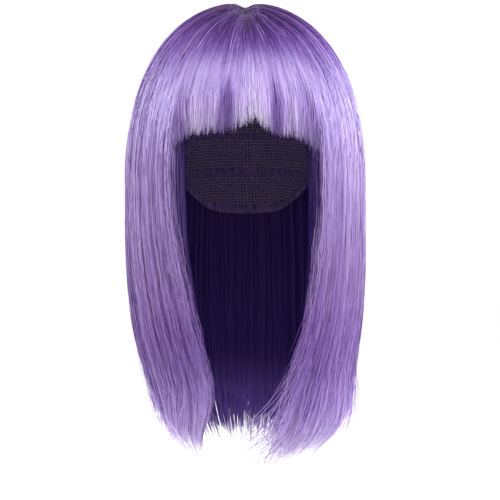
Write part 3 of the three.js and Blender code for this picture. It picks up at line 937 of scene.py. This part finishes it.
# Groups of loose strands: (how many, begins, ends, places across, drift across, depths, crimp, flare).
# CROWN and BANGS_CROWN lie over the roots, and LOOSE is on the lengths, the edges and the tips.
CROWN = ((210, (0.0, 0.05), (0.35, 0.85), (0.02, 0.98), 0.02, (-0.02, 0.01), 0.25),)
BANGS_CROWN = ((170, (0.0, 0.05), (0.3, 0.55), (0.02, 0.98), 0.02, (-0.01, 0.01), 0.25),)
LOOSE = {
    "left": (
        (100, (0.75, 1.3), (1.7, 1.93), (0.02, 0.98), 0.0, (-0.01, 0.02), 0.2),
        (130, (0.8, 1.55), (1.65, 1.94), (-0.01, 0.07), -0.03, (0.0, 0.2), 0.5),
        (90, (1.1, 1.6), (1.7, 1.94), (-0.045, -0.005), -0.06, (0.1, 0.5), 0.6),
        (60, (0.7, 0.9), (1.1, 1.5), (-0.04, 0.01), 0.0, (0.0, 0.2), 0.3),
        (170, (1.45, 1.65), (1.92, 2.04), (-0.02, 0.35), -0.5, (0.0, 0.3), 0.25),
        (150, (1.4, 1.6), (1.84, 2.0), (0.05, 0.95), 0.0, (0.0, 0.1), 0.3, 2.2),
        (9, (0.95, 1.05), (1.6, 1.9), (-0.01, 0.01), -0.22, (0.0, 0.3), 0.4),
    ),
    "right": (
        (260, (0.75, 1.3), (1.7, 1.93), (0.02, 0.98), 0.0, (-0.01, 0.02), 0.3),
        (130, (0.8, 1.55), (1.65, 1.94), (0.95, 1.01), 0.0, (0.0, 0.2), 0.6),
        (80, (1.1, 1.6), (1.65, 1.9), (1.0, 1.04), 0.0, (0.1, 0.5), 0.6),
        (60, (0.7, 0.9), (1.1, 1.5), (0.99, 1.03), 0.0, (0.0, 0.2), 0.3),
        (130, (1.3, 1.5), (1.88, 2.02), (0.5, 1.0), 0.0, (-0.02, 0.2), 0.35),
        (200, (1.4, 1.6), (1.86, 2.02), (0.05, 0.9), 0.0, (0.0, 0.1), 0.3, 2.4),
    ),
    "back": (
        (140, (0.75, 1.3), (1.7, 1.96), (0.02, 0.98), 0.0, (-0.01, 0.02), 0.2),
    ),
}


def make_hair():
    """The pieces of hair, section by section, and the bangs. Each piece has a seed of its own."""
    fine = {"width": FINE_RIBBON, "material": outer_fibre, "tilt": 40.0}
    for section, look in SECTIONS.items():
        node, ends, seed = look["node"], look["ends"], look["seed"]
        laid = {"section": section, "locks": look["locks"], "tufts": 5, "ribs": look["ribs"]}
        strands_piece(
            node.replace("hair", "strands"), node, seed, look["width"], outer_fibre,
            lively=look["lively"], count=look["count"], steps=17, depths=(0.0, 0.3), starts=(0.0, 0.7),
            tips=(*ends, 0.19), clump=0.18, **laid,
        )
        strands_piece(
            node.replace("hair", "inner_strands"), node, seed + 1, INNER_RIBBON, inner_fibre, lively=0.7,
            count=look["inner_count"], steps=14, depths=(0.84, 0.96), starts=(0.45, 0.75),
            tips=(ends[0] - 0.05, ends[1] - 0.05, 0.12), clump=0.2, **laid,
        )
        strands_piece(
            node.replace("hair", "loose_strands"), node, seed + 2, lively=0.6, section=section, steps=46,
            loose=LOOSE[section], **fine,
        )
        strands_piece(
            node.replace("hair", "crown_strands"), node, seed + 3, lively=0.6, section=section, steps=22,
            loose=CROWN, **fine,
        )
        under_piece(
            node.replace("hair", "under_hair"), node, section, look["columns"], ends[1] - 0.24,
            look["locks"],
        )
    strands_piece(
        "bangs_strands", "bangs", 51, BANGS_RIBBON, bangs_fibre, lively=0.16, section="bangs", count=5900,
        steps=15, depths=(0.0, 0.35), starts=(0.0, 0.5), tips=(1.0, 1.0, 18.0), locks=9, tufts=4,
        clump=0.08, ribs=0.2,
    )
    strands_piece(
        "bangs_crown_strands", "bangs", 53, section="bangs", steps=22, loose=BANGS_CROWN, **fine
    )
    under_piece("bangs_under_hair", "bangs", "bangs", 72, 0.74, 9)


# The cap and the scalp

def cap_point(bearing, height, offset):
    shell = head_shell(offset)
    above = np.clip((height + CROWN_TO_WIDEST) / CROWN_TO_WIDEST, 0, 1)
    spread = (1 - above ** ROUNDNESS) ** (1 / ROUNDNESS)
    below = np.maximum(-CROWN_TO_WIDEST - height, 0)
    x, y = outline(bearing, shell)
    spread = spread * (1 - NAPE_TUCK * below / HEAD_DEPTH)
    x, y = x * spread, y * spread
    return np.stack([x, y, np.where(below > 0, height, dome_height(x, y, shell))], axis=-1)


def make_cap():
    columns, rows = 144, 48
    around = np.linspace(0, 2 * math.pi, columns + 1)[None, :]
    turned = np.degrees(np.arccos(np.cos(around)))
    edge = -NAPE_DROP * read_table(CAP_EDGE_ROWS, 1, turned)
    step = np.linspace(0.004, 1, rows)[:, None]
    height = edge * (1 - np.cos(step * math.pi / 2))
    bearing = around * np.ones_like(height)
    inner = cap_point(bearing, height, 0)
    paces = np.linalg.norm(np.diff(inner, axis=0), axis=-1)
    run = np.concatenate([np.zeros((1, columns + 1)), np.cumsum(paces, axis=0)]) * MM
    spread = np.stack([bearing * (HEAD_BREADTH + HEAD_DEPTH) / 4 * MM, run], axis=-1)
    outer = cap_point(bearing, height, CAP_WALL)
    mesh = grid_mesh("cap_net", outer[:, :-1], inner[:, :-1], spread, ring=True)
    hem = mesh.attributes.new("to_edge", "FLOAT", "POINT")
    hem.data.foreach_set("value", np.tile((run[-1] - run)[:, :-1].ravel(), 2).astype(np.float32))
    place("cap_net", mesh, "wig_cap", (cap_material(),))


def make_scalp():
    columns, rows = 72, 14
    rim_gap, top, bottom = 0.4, 1.4, 0.4
    bearing = np.linspace(0, 2 * math.pi, columns + 1)[None, :]
    ring = np.linspace(0.01, 1, rows)[:, None]
    rim_x, rim_y = root_point(bearing, rim_gap)
    x, y = rim_x * ring, -PARTING_FORWARD + (rim_y + PARTING_FORWARD) * ring
    faces = [
        np.stack([x, y, dome_height(x, y, head_shell(offset))], axis=-1)[:, :-1]
        for offset in (CAP_WALL + top, CAP_WALL + bottom)
    ]
    mesh = grid_mesh("scalp_patch", *faces, np.stack([x, y], axis=-1) * MM, ring=True)
    place("scalp_patch", mesh, "skin_top", (scalp_material(),))


# The studio and the camera

def make_studio():
    """A pale floor under a white tent. Soft lights stand above in front and behind, and low at both sides."""
    half, level = 9.0, -0.46
    corners = [(-half, -half, level), (half, -half, level), (half, half, level), (-half, half, level)]
    ground = bpy.data.meshes.new("studio_floor")
    ground.from_pydata(corners, [], [(0, 1, 2, 3)])
    floor = bpy.data.objects.new("studio_floor", ground)
    bpy.context.scene.collection.objects.link(floor)
    material, _, shader = new_material("pale_paper")
    shader.inputs["Base Color"].default_value = (0.96, 0.96, 0.96, 1)
    shader.inputs["Roughness"].default_value = 0.9
    floor.data.materials.append(material)

    world = bpy.context.scene.world or bpy.data.worlds.new("studio")
    bpy.context.scene.world = world
    world.use_nodes = True
    tent = world.node_tree.nodes["Background"]
    tent.inputs["Color"].default_value = (1, 1, 1, 1)
    tent.inputs["Strength"].default_value = 1.045

    bpy.context.scene.view_settings.view_transform = "Standard"

    # Each light: name, place, size in metres, power in watts, colour
    middle = Vector((0, 0, -0.2))
    for name, spot, size, power, colour in (
        ("key_light", (0.8, -1.4, 1.3), 1.1, 12, "#ffffff"),
        ("right_light", (1.65, 0.05, -0.05), 1.2, 18, "#ffffff"),
        ("left_light", (-1.65, 0.25, -0.05), 1.2, 13, "#fff8e8"),
        ("back_light", (0.2, 1.5, 1.2), 1.4, 15, "#ffffff"),
    ):
        light = bpy.data.lights.new(name, "AREA")
        light.size = size
        light.energy = power
        light.color = linear(colour)[:3]
        lamp = bpy.data.objects.new(name, light)
        lamp.location = spot
        lamp.rotation_euler = (middle - Vector(spot)).to_track_quat("-Z", "Y").to_euler()
        bpy.context.scene.collection.objects.link(lamp)


def make_camera():
    """The photo's frame: 500 pixels at 0.86 mm each in the plane y = 0, seen from 1.8 m."""
    pixel, frame_pixels, distance = 0.86 * MM, 500, 1.8
    # The wig's middle and top, in pixels from the frame's left and upper edge, and the top's height
    middle_column, top_row, top = 245.5, 4, 0.013
    across = (frame_pixels / 2 - middle_column) * pixel
    up = top - (frame_pixels / 2 - top_row) * pixel
    camera = bpy.data.objects.new("camera", bpy.data.cameras.new("camera"))
    camera.data.sensor_width = 36
    camera.data.lens = 36 * distance / (frame_pixels * pixel)
    camera.location = (across, -distance, up)
    camera.rotation_euler = (math.pi / 2, 0, 0)
    bpy.context.scene.collection.objects.link(camera)
    bpy.context.scene.camera = camera


make_camera()
make_studio()
make_cap()
make_scalp()
make_hair()
